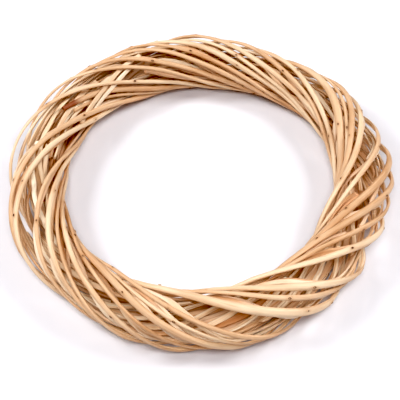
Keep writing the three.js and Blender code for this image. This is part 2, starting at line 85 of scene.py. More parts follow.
# How near to each other vertices lie that are one
MERGE_WITHIN = 2e-6


def layers_from(start, sides):
    """The rings of vertices that lie one, two and more edges away from the middle of one end"""
    layers = [[start]]
    seen = {start}
    while layers[-1]:
        ring = []
        for vertex in layers[-1]:
            for edge in vertex.link_edges:
                other = edge.other_vert(vertex)
                if other not in seen:
                    seen.add(other)
                    ring.append(other)
        if len(ring) not in (0, 1, sides):
            return None
        layers.append(ring)
    # Without the middles of the two ends, and the empty layer after them
    return layers[1:-2]


def solid_rings(node, sides):
    """The rings of edges round a solid, one for each of its sections"""
    body = bmesh.new()
    body.from_mesh(node.data)
    bmesh.ops.remove_doubles(body, verts=body.verts, dist=MERGE_WITHIN)
    rings = None
    for vertex in body.verts:
        if len(vertex.link_edges) == sides:
            rings = layers_from(vertex, sides)
        if rings:
            break
    found = []
    for ring in rings:
        members = set(ring)
        edges = {edge for vertex in ring for edge in vertex.link_edges if edge.other_vert(vertex) in members}
        found.append([tuple(np.array(end.co) for end in edge.verts) for edge in edges])
    body.free()
    return found


def unit(vector):
    return vector / np.linalg.norm(vector)


def from_tube_middle(point):
    """The direction in which a point lies from the middle line of the tube"""
    centre = np.array(RING_CENTRE)
    across = (point - centre) * (1, 1, 0)
    return unit(point - centre - unit(across) * RING_RADIUS)


def read_section(edges, sides, tangent):
    """The middle, outward direction, width and thickness of one section of a rod"""
    lengths = [np.linalg.norm(b - a) for a, b in edges]
    order = np.argsort(lengths)[::-1]
    middles = [(a + b) / 2 for a, b in edges]
    whole = sum(middles) / len(middles)
    flat = middles[order[0]]
    if sides == STRIP_SIDES:
        outward = flat - middles[order[1]]
        height = np.linalg.norm(outward)
        outward = unit(outward) * np.sign(outward @ from_tube_middle(whole))
        middle = (flat + middles[order[1]]) / 2
    else:
        outward = whole - flat
        outward = unit(outward - (outward @ tangent) * tangent)
        tops = [(point - flat) @ outward for pair in edges for point in pair]
        height = max(tops) / OUTER_HEIGHT_SHARE
        middle = flat + outward * height / 2
    return middle, outward, lengths[order[0]] / FLAT_SHARE, height


def read_course(node, sides):
    """The sections of a rod from one end to the other"""
    rings = solid_rings(node, sides)
    centres = [sum(a + b for a, b in edges) / 2 / len(edges) for edges in rings]
    course = []
    for index, edges in enumerate(rings):
        before = centres[max(index - 1, 0)]
        after = centres[min(index + 1, len(centres) - 1)]
        course.append(read_section(edges, sides, unit(after - before)))
    # A course runs upwards, so that an end in sight is its last one
    if course[0][0][2] > course[-1][0][2]:
        course.reverse()
    return course


def course_mesh(name, course):
    """The middle line of a rod, with what its sections say stored on its points"""
    middles, outwards, widths, heights = zip(*course)
    mesh = bpy.data.meshes.new(name)
    mesh.from_pydata([tuple(middle) for middle in middles], [(k, k + 1) for k in range(len(course) - 1)], [])
    values = {
        "outward": ("FLOAT_VECTOR", "vector", outwards),
        "width": ("FLOAT", "value", widths),
        "thickness": ("FLOAT", "value", heights),
    }
    for key, (kind, field, rows) in values.items():
        attribute = mesh.attributes.new(key, kind, "POINT")
        attribute.data.foreach_set(field, np.array(rows, np.float32).ravel())
    return mesh


# Building node trees

class Nodes:
    """A node tree in which each formula is written as one expression"""

    def __init__(self, tree):
        self.tree = tree

    def add(self, kind, inputs=(), **settings):
        made = self.tree.nodes.new(kind)
        for key, value in settings.items():
            setattr(made, key, value)
        for key, value in dict(inputs).items():
            self.feed(made.inputs[key], value)
        return made

    def feed(self, socket, value):
        if isinstance(value, bpy.types.NodeSocket):
            self.tree.links.new(value, socket)
        else:
            socket.default_value = value

    def math(self, operation, *values):
        made = self.add("ShaderNodeMath", operation=operation)
        for socket, value in zip(made.inputs, values):
            self.feed(socket, value)
        return made.outputs[0]

    def sum(self, *values):
        total = values[0]
        for value in values[1:]:
            total = self.math("ADD", total, value)
        return total

    def product(self, *values):
        total = values[0]
        for value in values[1:]:
            total = self.math("MULTIPLY", total, value)
        return total

    def less(self, value, taken):
        return self.math("SUBTRACT", value, taken)

    def bell(self, value, reach):
        """1 where the value is 0, and falling to nothing on both sides of it"""
        share = self.math("DIVIDE", value, reach)
        return self.math("EXPONENT", self.product(share, share, -1))

    def vector_math(self, operation, *values, scale=None):
        made = self.add("ShaderNodeVectorMath", operation=operation)
        for socket, value in zip(made.inputs, values):
            self.feed(socket, value)
        if scale is not None:
            self.feed(made.inputs["Scale"], scale)
        return made.outputs["Value" if operation in ("DOT_PRODUCT", "LENGTH") else "Vector"]

    def scaled(self, vector, scale):
        return self.vector_math("SCALE", vector, scale=scale)

    def vector_sum(self, *vectors):
        total = vectors[0]
        for vector in vectors[1:]:
            total = self.vector_math("ADD", total, vector)
        return total

    def combine(self, x, y, z):
        return self.add("ShaderNodeCombineXYZ", {0: x, 1: y, 2: z}).outputs[0]

    def separate(self, vector):
        return self.add("ShaderNodeSeparateXYZ", {0: vector}).outputs

    def ramp(self, value, low, high, to_low=0.0, to_high=1.0, smooth=True):
        made = self.add("ShaderNodeMapRange", {0: value, 1: low, 2: high, 3: to_low, 4: to_high})
        made.interpolation_type = "SMOOTHSTEP" if smooth else "LINEAR"
        return made.outputs[0]

    def noise(self, vector, scale, detail=2.0, roughness=0.5):
        inputs = {"Vector": vector, "Scale": scale, "Detail": detail, "Roughness": roughness}
        return self.add("ShaderNodeTexNoise", inputs).outputs[0]


class GeometryTree(Nodes):
    """A Geometry Nodes tree with named inputs"""

    def __init__(self, name):
        super().__init__(bpy.data.node_groups.new(name, "GeometryNodeTree"))
        face = self.tree.interface
        face.new_socket("Geometry", in_out="INPUT", socket_type="NodeSocketGeometry")
        face.new_socket("Geometry", in_out="OUTPUT", socket_type="NodeSocketGeometry")
        self.source = self.tree.nodes.new("NodeGroupInput")

    def input(self, name, kind, value=None):
        socket = self.tree.interface.new_socket(name, in_out="INPUT", socket_type="NodeSocket" + kind)
        if value is not None:
            socket.default_value = value
        return self.source.outputs[name]

    def named(self, name, kind="FLOAT"):
        return self.add("GeometryNodeInputNamedAttribute", {"Name": name}, data_type=kind).outputs[0]

    def store(self, geometry, name, value, kind="FLOAT"):
        made = self.add("GeometryNodeStoreNamedAttribute", data_type=kind, domain="POINT")
        for key, fed in {"Geometry": geometry, "Name": name, "Value": value}.items():
            self.feed(made.inputs[key], fed)
        return made.outputs[0]

    def place(self, geometry, position):
        return self.add("GeometryNodeSetPosition", {"Geometry": geometry, "Position": position}).outputs[0]

    def random(self, low, high, key, seed):
        made = self.add("FunctionNodeRandomValue", {"ID": key, "Seed": seed}, data_type="FLOAT")
        self.feed(made.inputs[2], low)
        self.feed(made.inputs[3], high)
        return made.outputs[1]

    def join(self, *parts):
        made = self.add("GeometryNodeJoinGeometry")
        for part in parts:
            self.tree.links.new(part, made.inputs[0])
        return made.outputs[0]

    def forget(self, geometry, *names):
        for name in names:
            inputs = {"Geometry": geometry, "Name": name}
            geometry = self.add("GeometryNodeRemoveAttribute", inputs).outputs[0]
        return geometry

    def finish(self, geometry, material):
        solid = self.add("GeometryNodeRealizeInstances", {0: geometry}).outputs[0]
        painted = self.add("GeometryNodeSetMaterial", {"Geometry": solid, "Material": material}).outputs[0]
        target = self.tree.nodes.new("NodeGroupOutput")
        self.tree.links.new(painted, target.inputs[0])
        return self.tree


def grow(name, mesh, tree, values):
    """Runs a tree on a mesh with the given inputs, and returns the plain mesh object that comes out"""
    holder = bpy.data.objects.new(name, mesh)
    bpy.context.scene.collection.objects.link(holder)
    modifier = holder.modifiers.new("tree", "NODES")
    modifier.node_group = tree
    for socket in tree.interface.items_tree:
        if socket.in_out == "INPUT" and socket.name in values:
            modifier[socket.identifier] = values[socket.name]
    settled = holder.evaluated_get(bpy.context.evaluated_depsgraph_get())
    made = bpy.data.meshes.new_from_object(settled)
    holder.modifiers.remove(modifier)
    holder.data = made
    made.name = name
    bpy.data.meshes.remove(mesh)
    return holder


# The rods

# The section of a rod, in shares of its thickness: its widest line lies below the middle, with the dome
# above that line and the flat face below it
WIDEST_DROP = 0.15
DOME_RISE = 0.643
FLAT_DROP = 0.35
# How square the edges of the flat face are, and how wide the groove of the pith is, as a share of the width
FLAT_POWER = 0.5
GROOVE_WIDTH = 0.06
# Where on the section's height the split face starts and is full, and the same for the crest of the dome
FACE_FROM, FACE_TO = -0.36, -0.47
CREST_FROM, CREST_TO = -0.2, 0.45

# A rod that was shaved as well as split has a flat top between two flanks: how high the flat lies and how
# steep the flanks are for the section's width, how softly they meet, how far the flat tips to the sides, and
# over what length
FACET_TOP = 0.54
FLANK_SLOPE = 2.2
FACET_BLEND = 0.03
FACET_TILT = 2.6
FACET_LENGTH = 70 * MM

# Buds grew along a rod about this far apart, and the peeling left a small scar at most of them
BUD_SPACING = 58 * MM
SCARS_KEPT = 0.7
# Where a bud sits within its stretch, how far aside it sits at most, as a share of the width, how high its
# scar sits, as a share of the bud's height, how far it leans aside, and its size
BUD_PLACES = (0.12, 0.88)
BUD_ASIDE = 0.26
SCAR_LIFT = 0.75
SCAR_LEAN = 1.5
SCAR_SIZES = (0.7, 1.25)
# How far along the rod a bud swells it, and how far its tint goes along the rod and across it
SWELLING_LENGTH = 4 * MM
HALO_LENGTH = 2.4 * MM
HALO_WIDTH = 1.0 * MM
# Where on the section's height the swelling and the tint start and are full
UPPER_FROM, UPPER_TO = -0.2, 0.1

# Fibres that the splitting lifted off an edge: how often one starts, where within its stretch, its size, how
# far aside and how low it is rooted, in shares of width and thickness, and how far it rises
FIBRE_SPACING = 46 * MM
FIBRES_KEPT = 0.55
FIBRE_PLACES = (0.1, 0.9)
FIBRE_SIZES = (0.5, 1.2)
FIBRE_ASIDE = 0.47
FIBRE_DROP = -0.3
FIBRE_RISE = 0.25
# No scar or fibre sits closer to an end than this
CLEAR_OF_ENDS = 8 * MM

# How quickly the slow unevenness changes across and along a rod, per metre
UNEVEN_ACROSS = 120
UNEVEN_ALONG = 55
# The length of a slanting end, and where from the last end the stain starts and is full
SLANT_LENGTH = 3 * MM
STAIN_FROM, STAIN_TO = 16 * MM, 8 * MM
# How far from the axis of the ring the painted shade on wood inside the tube is least and most brown, and
# what share of brown is the least
LEAST_SHADE_AT, MOST_SHADE_AT = 118 * MM, 102 * MM
LEAST_SHADE = 0.35

# What is added to a rod's seed for each of the draws
DRAWS = {
    "bud_aside": 77, "scarred": 31, "scar_size": 53,
    "fibre_place": 5, "fibre_kept": 6, "fibre_side": 7, "fibre_heading": 8, "fibre_size": 9,
}


def closed_rings(name, rings, marks):
    """A small closed body from rings of points, each ring with its own scar value"""
    body = bmesh.new()
    scar = body.verts.layers.float.new("scar")
    made = []
    for ring, mark in zip(rings, marks):
        made.append([body.verts.new(Vector(point) * MM) for point in ring])
        for vertex in made[-1]:
            vertex[scar] = mark
    count = max(len(ring) for ring in made)
    for ends in (made[0], made[-1]):
        if len(ends) > 1:
            body.faces.new(ends)
    for low, high in zip(made, made[1:]):
        for k in range(count):
            corners = [low[k % len(low)], low[(k + 1) % len(low)]]
            corners += [high[(k + 1) % len(high)], high[k % len(high)]]
            body.faces.new(list(dict.fromkeys(corners)))
    bmesh.ops.recalc_face_normals(body, faces=body.faces)
    mesh = bpy.data.meshes.new(name)
    body.to_mesh(mesh)
    body.free()
    return bpy.data.objects.new(name, mesh)


def turns(count):
    """Points evenly round a circle"""
    return [(math.cos(2 * math.pi * k / count), math.sin(2 * math.pi * k / count)) for k in range(count)]


# A scar's radius, height and darkness, from its root over the rim into the pit, and its length for its width
SCAR_PROFILE = [
    (0, -0.30, 0), (0.62, -0.28, 0), (0.80, -0.02, 0.12), (0.62, 0.16, 0.35), (0.40, 0.10, 0.8),
    (0.24, -0.06, 1), (0, -0.10, 1),
]
SCAR_LENGTH = 1.55
# How thick a fibre is at each section, how far apart these are, how flat it is, how far it bends up from its
# sunk root, and where its tip lies
FIBRE_PROFILE = (0.16, 0.17, 0.13, 0.09)
FIBRE_STEP = 1.9
FIBRE_FLATNESS = 0.6
FIBRE_BEND = 0.55
FIBRE_ROOT = 0.12
FIBRE_TIP = (0, 7.5, 0.43)


def make_scar():
    """A bud scar: a raised oval rim round a pit, sunk into the rod"""
    rings = []
    for radius, height, _ in SCAR_PROFILE:
        circle = turns(10) if radius else [(0, 0)]
        rings.append([(radius * x, SCAR_LENGTH * radius * y, height) for x, y in circle])
    return closed_rings("bud_scar", rings, [mark for _, _, mark in SCAR_PROFILE])


def make_fibre():
    """A fibre lifted off the wood: a thin spike that bends away"""
    rings = []
    for k, thick in enumerate(FIBRE_PROFILE):
        rise = FIBRE_BEND * (k / len(FIBRE_PROFILE)) ** 2 - FIBRE_ROOT
        rings.append([(thick * x, FIBRE_STEP * k, rise + FIBRE_FLATNESS * thick * y) for x, y in turns(3)])
    rings.append([FIBRE_TIP])
    return closed_rings("fibre", rings, [0] * len(rings))


def rod_tree():
    """A split rod along its middle line: a section that is round outside and flat inside, drawn along the
    course, with slight swellings and scars at the buds and a few lifted fibres. The place in the grain and
    other values are stored for the material."""
    tree = GeometryTree("split_rod")
    step = tree.input("Step", "Float", 1.4 * MM)
    sides = tree.input("Sides", "Int", 20)
    fullness = tree.input("Fullness", "Float", 1.0)
    dome = tree.input("Dome", "Float", 1.0)
    facets = tree.input("Facets", "Float", 0.0)
    knobbly = tree.input("Knobbly", "Float", 0.10 * MM)
    bud_height = tree.input("Bud height", "Float", 0.22 * MM)
    groove = tree.input("Pith groove", "Float", 0.05)
    cut = tree.input("Oblique cut", "Float", 1.0)
    scars_kept = tree.input("Scars kept", "Float", SCARS_KEPT)
    fibres_kept = tree.input("Fibres kept", "Float", FIBRES_KEPT)
    tone = tree.input("Tone", "Float", 0.5)
    # How much painted shade browns the wood inside the tube
    age = tree.input("Age", "Float", 0.0)
    stain = tree.input("End stain", "Float", 0.0)
    seed = tree.input("Seed", "Int", 0)
    scar_object = tree.input("Scar", "Object")
    fibre_object = tree.input("Fibre", "Object")
    material = tree.input("Material", "Material")

    # The line, evenly stepped, with its directions
    line = tree.add("GeometryNodeMeshToCurve", {0: tree.source.outputs["Geometry"]}).outputs[0]
    line = tree.add("GeometryNodeCurveSplineType", {0: line}, spline_type="CATMULL_ROM").outputs[0]
    line = tree.add("GeometryNodeResampleCurve", {"Curve": line, "Length": step}, mode="LENGTH").outputs[0]
    parameter = tree.add("GeometryNodeSplineParameter").outputs
    along = parameter["Length"]
    tangent = tree.add("GeometryNodeInputTangent").outputs[0]
    outward = tree.named("outward", "FLOAT_VECTOR")
    lean = tree.vector_math("DOT_PRODUCT", outward, tangent)
    outward = tree.vector_math("SUBTRACT", outward, tree.scaled(tangent, lean))
    outward = tree.vector_math("NORMALIZE", outward)
    across = tree.vector_math("CROSS_PRODUCT", tangent, outward)
    whole = tree.math("DIVIDE", along, tree.math("MAXIMUM", parameter["Factor"], 1e-5))
    past_middle = tree.math("GREATER_THAN", parameter["Factor"], 0.5)
    to_last = tree.less(whole, along)
    stored = {
        "centre": (tree.add("GeometryNodeInputPosition").outputs[0], "FLOAT_VECTOR"),
        "out": (outward, "FLOAT_VECTOR"),
        "side": (across, "FLOAT_VECTOR"),
        "onward": (tangent, "FLOAT_VECTOR"),
        "along": (along, "FLOAT"),
        "to_last": (tree.ramp(past_middle, 0, 1, 1, to_last, smooth=False), "FLOAT"),
        "to_first": (tree.ramp(past_middle, 0, 1, along, 1, smooth=False), "FLOAT"),
    }
    for name, (value, kind) in stored.items():
        line = tree.store(line, name, value, kind)
    along = tree.named("along")
    to_last = tree.named("to_last")
    to_first = tree.named("to_first")
    width = tree.product(tree.named("width"), fullness)
    thickness = tree.product(tree.named("thickness"), fullness)
    side = tree.named("side", "FLOAT_VECTOR")
    out = tree.named("out", "FLOAT_VECTOR")
    onward = tree.named("onward", "FLOAT_VECTOR")
    centre = tree.named("centre", "FLOAT_VECTOR")

    def drawn(low, high, key, name):
        """A number drawn for each key, with what the draw of this name adds to the seed"""
        return tree.random(low, high, key, tree.sum(seed, DRAWS[name]))

    # Buds sit one after another along the rod, each at its own place within its stretch
    stretch = tree.math("FLOOR", tree.math("DIVIDE", along, BUD_SPACING))
    jitter = tree.random(*BUD_PLACES, stretch, seed)
    bud_along = tree.product(tree.sum(stretch, jitter), BUD_SPACING)
    bud_share = drawn(-BUD_ASIDE, BUD_ASIDE, stretch, "bud_aside")
    off_along = tree.less(along, bud_along)
    scarred = tree.math("LESS_THAN", drawn(0, 1, stretch, "scarred"), scars_kept)
    near = tree.math("LESS_THAN", tree.math("ABSOLUTE", off_along), tree.product(step, 0.5))
    clear_of_ends = tree.math("GREATER_THAN", tree.math("MINIMUM", to_first, to_last), CLEAR_OF_ENDS)
    roof = tree.math("SQRT", tree.less(1.0, tree.product(bud_share, bud_share, 4)))
    roof = tree.less(tree.product(roof, DOME_RISE), WIDEST_DROP)
    spot = tree.vector_sum(
        centre,
        tree.scaled(side, tree.product(bud_share, width)),
        tree.scaled(out, tree.sum(tree.product(roof, thickness), tree.product(bud_height, SCAR_LIFT))),
    )
    facing = tree.vector_sum(tree.scaled(side, tree.product(bud_share, SCAR_LEAN)), out)
    points = tree.add("GeometryNodeCurveToPoints", {"Curve": line}, mode="EVALUATED").outputs[0]
    points = tree.store(points, "grain", tree.combine(0, 0, along), "FLOAT_VECTOR")

    def strew(body, chosen, position, up, forward, size):
        """Copies of a small body at the chosen points, each turned to its directions"""
        picked = tree.place(tree.store(points, "chosen", chosen), position)
        turned = tree.add("FunctionNodeAxesToRotation", {0: up, 1: forward}, primary_axis="Z")
        turned.secondary_axis = "Y"
        inputs = {
            "Points": picked,
            "Selection": tree.math("GREATER_THAN", tree.named("chosen"), 0.5),
            "Instance": tree.add("GeometryNodeObjectInfo", {0: body}).outputs["Geometry"],
            "Rotation": turned.outputs[0],
            "Scale": tree.combine(size, size, size),
        }
        copies = tree.add("GeometryNodeInstanceOnPoints", inputs).outputs[0]
        copies = tree.add("GeometryNodeRealizeInstances", {0: copies}).outputs[0]
        return tree.store(copies, "to_last", 1.0)

    size = drawn(*SCAR_SIZES, stretch, "scar_size")
    scars = strew(scar_object, tree.product(near, scarred, clear_of_ends), spot, facing, onward, size)

    # Fibres start at the sharp edges, on either side
    start = tree.math("FLOOR", tree.math("DIVIDE", along, FIBRE_SPACING))
    jitter = drawn(*FIBRE_PLACES, start, "fibre_place")
    off_fibre = tree.less(along, tree.product(tree.sum(start, jitter), FIBRE_SPACING))
    there = tree.math("LESS_THAN", tree.math("ABSOLUTE", off_fibre), tree.product(step, 0.5))
    kept = tree.math("LESS_THAN", drawn(0, 1, start, "fibre_kept"), fibres_kept)
    left = tree.ramp(drawn(0, 1, start, "fibre_side"), 0.49, 0.51, -1, 1, smooth=False)
    heading = tree.ramp(drawn(0, 1, start, "fibre_heading"), 0.49, 0.51, -1, 1, smooth=False)
    edge = tree.vector_sum(
        centre,
        tree.scaled(side, tree.product(left, width, FIBRE_ASIDE)),
        tree.scaled(out, tree.product(thickness, FIBRE_DROP)),
    )
    lifted = tree.vector_sum(tree.scaled(side, left), tree.scaled(out, FIBRE_RISE))
    size = drawn(*FIBRE_SIZES, start, "fibre_size")
    chosen = tree.product(there, kept, clear_of_ends)
    fibres = strew(fibre_object, chosen, edge, lifted, tree.scaled(onward, heading), size)
    fibres = tree.store(fibres, "face", 1.0)

    # The section: a full dome above its widest line, and a flat face with rounded edges below it
    circle = tree.add("GeometryNodeCurvePrimitiveCircle", {"Resolution": sides, "Radius": 1.0}).outputs[0]
    x, y, _ = tree.separate(tree.add("GeometryNodeInputPosition").outputs[0])
    below = tree.math("LESS_THAN", y, 0.0)
    power = tree.ramp(below, 0, 1, dome, FLAT_POWER, smooth=False)
    section_x = tree.product(tree.math("SIGN", x), tree.math("POWER", tree.math("ABSOLUTE", x), power), 0.5)
    height = tree.ramp(below, 0, 1, DOME_RISE, -FLAT_DROP, smooth=False)
    section_y = tree.product(tree.math("POWER", tree.math("ABSOLUTE", y), power), height)
    dip = tree.product(tree.bell(section_x, GROOVE_WIDTH), below, groove)
    section_y = tree.sum(section_y, -WIDEST_DROP, dip)
    circle = tree.store(circle, "section", tree.combine(section_x, section_y, below), "FLOAT_VECTOR")

    # The skin, whose faces are turned to point outwards
    inputs = {"Curve": line, "Profile Curve": circle, "Fill Caps": True}
    skin = tree.add("GeometryNodeCurveToMesh", inputs).outputs[0]
    skin = tree.add("GeometryNodeFlipFaces", {0: skin}).outputs[0]
    section_x, section_y, below = tree.separate(tree.named("section", "FLOAT_VECTOR"))
    turning = tree.combine(tree.product(along, 1 / FACET_LENGTH), tree.product(seed, 1.7), 0)
    tilt = tree.product(tree.less(tree.noise(turning, 1.0, 1.0), 0.5), FACET_TILT)
    flanks = tree.product(tree.less(0.5, tree.math("ABSOLUTE", section_x)), FLANK_SLOPE)
    top = tree.less(FACET_TOP, tree.product(tilt, section_x))
    cut_faces = tree.math("SMOOTH_MIN", flanks, top, FACET_BLEND)
    cut_faces = tree.less(tree.less(cut_faces, WIDEST_DROP), section_y)
    section_y = tree.sum(section_y, tree.product(cut_faces, facets, tree.less(1.0, below)))
    sideways = tree.product(section_x, width)
    lift = tree.product(section_y, thickness)
    grain = tree.combine(sideways, lift, along)
    upper = tree.ramp(section_y, UPPER_FROM, UPPER_TO)
    swelling = tree.product(tree.bell(off_along, SWELLING_LENGTH), upper)
    beside = tree.less(sideways, tree.product(bud_share, width))
    halo = tree.product(tree.bell(off_along, HALO_LENGTH), tree.bell(beside, HALO_WIDTH), upper, scarred)

    # Slow unevenness, and a slanting cut at each end
    slow = tree.combine(
        tree.product(sideways, UNEVEN_ACROSS),
        tree.product(lift, UNEVEN_ACROSS),
        tree.product(along, UNEVEN_ALONG),
    )
    slow = tree.vector_math("ADD", slow, tree.combine(tree.product(seed, 3.7), 0, 0))
    unevenness = tree.less(tree.noise(slow, 1.0), 0.5)
    rise = tree.sum(tree.product(unevenness, knobbly, 2), tree.product(swelling, bud_height))
    at_last = tree.ramp(to_last, SLANT_LENGTH, 0)
    at_first = tree.ramp(to_first, SLANT_LENGTH, 0)
    slant = tree.product(tree.less(at_first, at_last), tree.sum(section_y, 0.5), thickness, cut)
    surface = tree.vector_math("NORMALIZE", tree.vector_sum(
        tree.scaled(side, tree.product(section_x, 1.2)), tree.scaled(out, tree.sum(section_y, WIDEST_DROP)),
    ))
    position = tree.vector_sum(
        centre,
        tree.scaled(side, sideways),
        tree.scaled(out, lift),
        tree.scaled(surface, rise),
        tree.scaled(onward, slant),
    )
    values = {
        "grain": (grain, "FLOAT_VECTOR"),
        "face": (tree.ramp(section_y, FACE_FROM, FACE_TO), "FLOAT"),
        "crest": (tree.ramp(section_y, CREST_FROM, CREST_TO), "FLOAT"),
        "halo": (halo, "FLOAT"),
        "scar": (0.0, "FLOAT"),
    }
    for name, (value, kind) in values.items():
        skin = tree.store(skin, name, value, kind)
    skin = tree.place(skin, position)

    # Nothing of a rod reaches below the surface that the wreath lies on
    whole_rod = tree.join(skin, scars, fibres)
    x, y, z = tree.separate(tree.add("GeometryNodeInputPosition").outputs[0])
    whole_rod = tree.place(whole_rod, tree.combine(x, y, tree.math("MAXIMUM", z, 0.0)))
    browned = tree.product(tree.ramp(to_last, STAIN_FROM, STAIN_TO), stain)
    whole_rod = tree.store(whole_rod, "stain", browned)
    whole_rod = tree.store(whole_rod, "tone", tone)
    # Painted shade: wood inside the tube is browner towards the hole of the ring, where the tube lies in
    # shade
    from_axis = tree.vector_math("LENGTH", tree.combine(x, y, 0))
    painted_shade_here = tree.product(age, tree.ramp(from_axis, LEAST_SHADE_AT, MOST_SHADE_AT, LEAST_SHADE, 1.0))
    whole_rod = tree.store(whole_rod, "age", painted_shade_here)
    whole_rod = tree.forget(
        whole_rod, "centre", "out", "side", "onward", "along", "section", "outward", "width", "thickness",
        "to_last", "to_first", "chosen",
    )
    return tree.finish(whole_rod, material)


# The narrow strips inside, which the solids leave out

# The families of strips: how many are laid and how wide they are in mm, where they lie round the ring and how
# long they are in degrees, how steeply they wind, in degrees of the ring for one turn round the tube, what
# share of them winds the other way, where round the tube they start, and how many paths are tried for each
# before the roomiest is taken. The side and lane strips fill the lanes between the rods, the slanting strips
# cross them at the left, the short floor and back strips lie side by side over the underside, in front and at
# the back, and the deep strips cross inside.
LINING = [
    {"name": "side_strip", "count": 4, "width": (2.2, 3.0), "ring": (112, 172), "span": (30, 46),
     "pitch": (175, 205), "other_way": 0, "around": (10, 38), "tries": 60},
    {"name": "lane_strip", "count": 11, "width": (2.2, 3.2), "ring": (-25, 205), "span": (70, 100),
     "pitch": (160, 195), "other_way": 0, "around": (30, 50), "tries": 40},
    {"name": "slanting_strip", "count": 8, "width": (2.4, 3.6), "ring": (118, 222), "span": (34, 60),
     "pitch": (250, 420), "other_way": 1, "around": (55, 120), "tries": 12},
    {"name": "floor_strip", "count": 28, "width": (2.9, 4.1), "ring": (-199, 17), "span": (35, 37),
     "pitch": (75, 77), "other_way": 0, "around": (-5, -1), "tries": 1, "side_by_side": True},
    {"name": "back_strip", "count": 38, "width": (2.3, 3.5), "ring": (-18, 198), "span": (35, 37),
     "pitch": (75, 77), "other_way": 0, "around": (-5, -1), "tries": 1, "side_by_side": True},
    {"name": "deep_strip", "count": 8, "width": (2.4, 3.8), "ring": (-8, 256), "span": (90, 200),
     "pitch": (70, 130), "other_way": 0.25, "around": (0, 360), "tries": 30},
]
# The seed of their draws, how thick they are, and the gap that they leave to what they lie under
LINING_SEED = 12
LINING_THICKNESS = 1.1 * MM
LINING_GAP = 0.35 * MM
# How finely the hollow of the tube is measured, round the ring and round the tube, and how far along the
# ring a strip looks ahead before it dives
RING_CELLS = 240
TUBE_CELLS = 48
LOOK_AHEAD = 4
# How far the hollow reaches where nothing lies in it, and the reach at which a strip's width is measured
FULL_REACH = 18.3 * MM
USUAL_REACH = 10 * MM
# Where a rod is sampled: how often between two of its sections, and where across its width
SAMPLES_ALONG = 8
SAMPLES_ACROSS = (-0.5, -0.25, 0, 0.25, 0.5)
# The strips side by side start on the outer side of the tube, higher at the back of the wreath than in front,
# in degrees, and a little out of step, as a share of their spacing
START_SWING = 42
START_JITTER = 0.12
# Where the hollow gets narrow, strips side by side would run into each other, so every other one ends at the
# greater reach, and the rest and the other families at the lesser one. What is left of a strip is left out if
# it is shorter than the least number of cells. A strip has a section at every other cell.
GREATER_REACH = 10 * MM
LESSER_REACH = 4 * MM
LEAST_CELLS = 8
SECTION_EVERY = 2


class Hollow:
    """The free hollow of the tube: how far it reaches from its middle, round the ring and round the tube"""

    def __init__(self, courses):
        self.reach = np.full((RING_CELLS, TUBE_CELLS), FULL_REACH)
        self.middle = np.zeros((RING_CELLS, 2))
        samples = [self.samples(course) for course in courses]
        ring, across, height = self.measure(np.concatenate(samples))
        cells = self.cells(ring)
        # At each cell the tube's middle lies halfway between the rods that lie furthest apart there
        for cell in range(RING_CELLS):
            near = np.abs((cells - cell + RING_CELLS / 2) % RING_CELLS - RING_CELLS / 2) < LOOK_AHEAD
            for axis, values in enumerate((across[near], height[near])):
                self.middle[cell, axis] = (values.min() + values.max()) / 2
        for sample in samples:
            self.fill(sample)

    def cells(self, ring):
        return (ring / 360 * RING_CELLS).astype(int) % RING_CELLS

    def samples(self, course):
        """Points on the inner face of a rod, close together"""
        found = []
        for (a, out_a, width_a, high_a), (b, out_b, width_b, high_b) in zip(course, course[1:]):
            onward = unit(b - a)
            for share in np.linspace(0, 1, SAMPLES_ALONG, endpoint=False):
                out = out_a + (out_b - out_a) * share
                side = np.cross(onward, out)
                width = width_a + (width_b - width_a) * share
                high = high_a + (high_b - high_a) * share
                for place in SAMPLES_ACROSS:
                    found.append(a + (b - a) * share + side * width * place - out * high / 2)
        return np.array(found)

    def measure(self, points):
        """The angle round the ring, the distance out from the ring's middle line and the height above it"""
        from_centre = points - np.array(RING_CENTRE)
        ring = np.degrees(np.arctan2(from_centre[:, 1], from_centre[:, 0])) % 360
        across = np.hypot(from_centre[:, 0], from_centre[:, 1]) - RING_RADIUS
        return ring, across, from_centre[:, 2]

    def fill(self, points):
        """Takes away the hollow beyond these points"""
        ring, across, height = self.measure(points)
        cells = self.cells(ring)
        across = across - self.middle[cells, 0]
        height = height - self.middle[cells, 1]
        around = (np.degrees(np.arctan2(height, across)) / 360 * TUBE_CELLS).astype(int) % TUBE_CELLS
        np.minimum.at(self.reach, (cells, around), np.hypot(across, height))

    def room(self, ring, around, width):
        """The free reach along a path, with room for a strip of this width"""
        cells = self.cells(ring)
        columns = np.floor(around / 360 * TUBE_CELLS).astype(int)
        half = math.ceil(math.degrees(width / 2 / USUAL_REACH) / 360 * TUBE_CELLS)
        room = np.full(len(ring), FULL_REACH)
        for ahead in (-1, 0, 1):
            for aside in range(-half, half + 1):
                found = self.reach[(cells + ahead) % RING_CELLS, (columns + aside) % TUBE_CELLS]
                room = np.minimum(room, found)
        padded = np.pad(room, LOOK_AHEAD, mode="edge")
        lowest = np.array([padded[k:k + 2 * LOOK_AHEAD + 1].min() for k in range(len(room))])
        padded = np.pad(lowest, LOOK_AHEAD, mode="edge")
        smooth = np.array([padded[k:k + 2 * LOOK_AHEAD + 1].mean() for k in range(len(room))])
        return smooth - LINING_GAP - LINING_THICKNESS / 2

    def course(self, ring, around, reach, width):
        """The sections of a strip along a path"""
        course = []
        for angle, turn, distance in zip(ring, around, reach):
            cell = int(angle / 360 * RING_CELLS) % RING_CELLS
            radial = np.array((math.cos(math.radians(angle)), math.sin(math.radians(angle)), 0))
            outward = radial * math.cos(math.radians(turn)) + np.array((0, 0, math.sin(math.radians(turn))))
            across, height = self.middle[cell]
            middle = np.array(RING_CENTRE) + radial * (RING_RADIUS + across) + np.array((0, 0, height))
            course.append((middle + outward * distance, outward, width, LINING_THICKNESS))
        return course


def roomy_stretch(reach, least):
    """The longest stretch of a path along which the hollow is wide enough"""
    first = 0
    best = slice(0, 0)
    for last in range(len(reach) + 1):
        if last == len(reach) or reach[last] < least:
            if last - first > best.stop - best.start:
                best = slice(first, last)
            first = last + 1
    return best


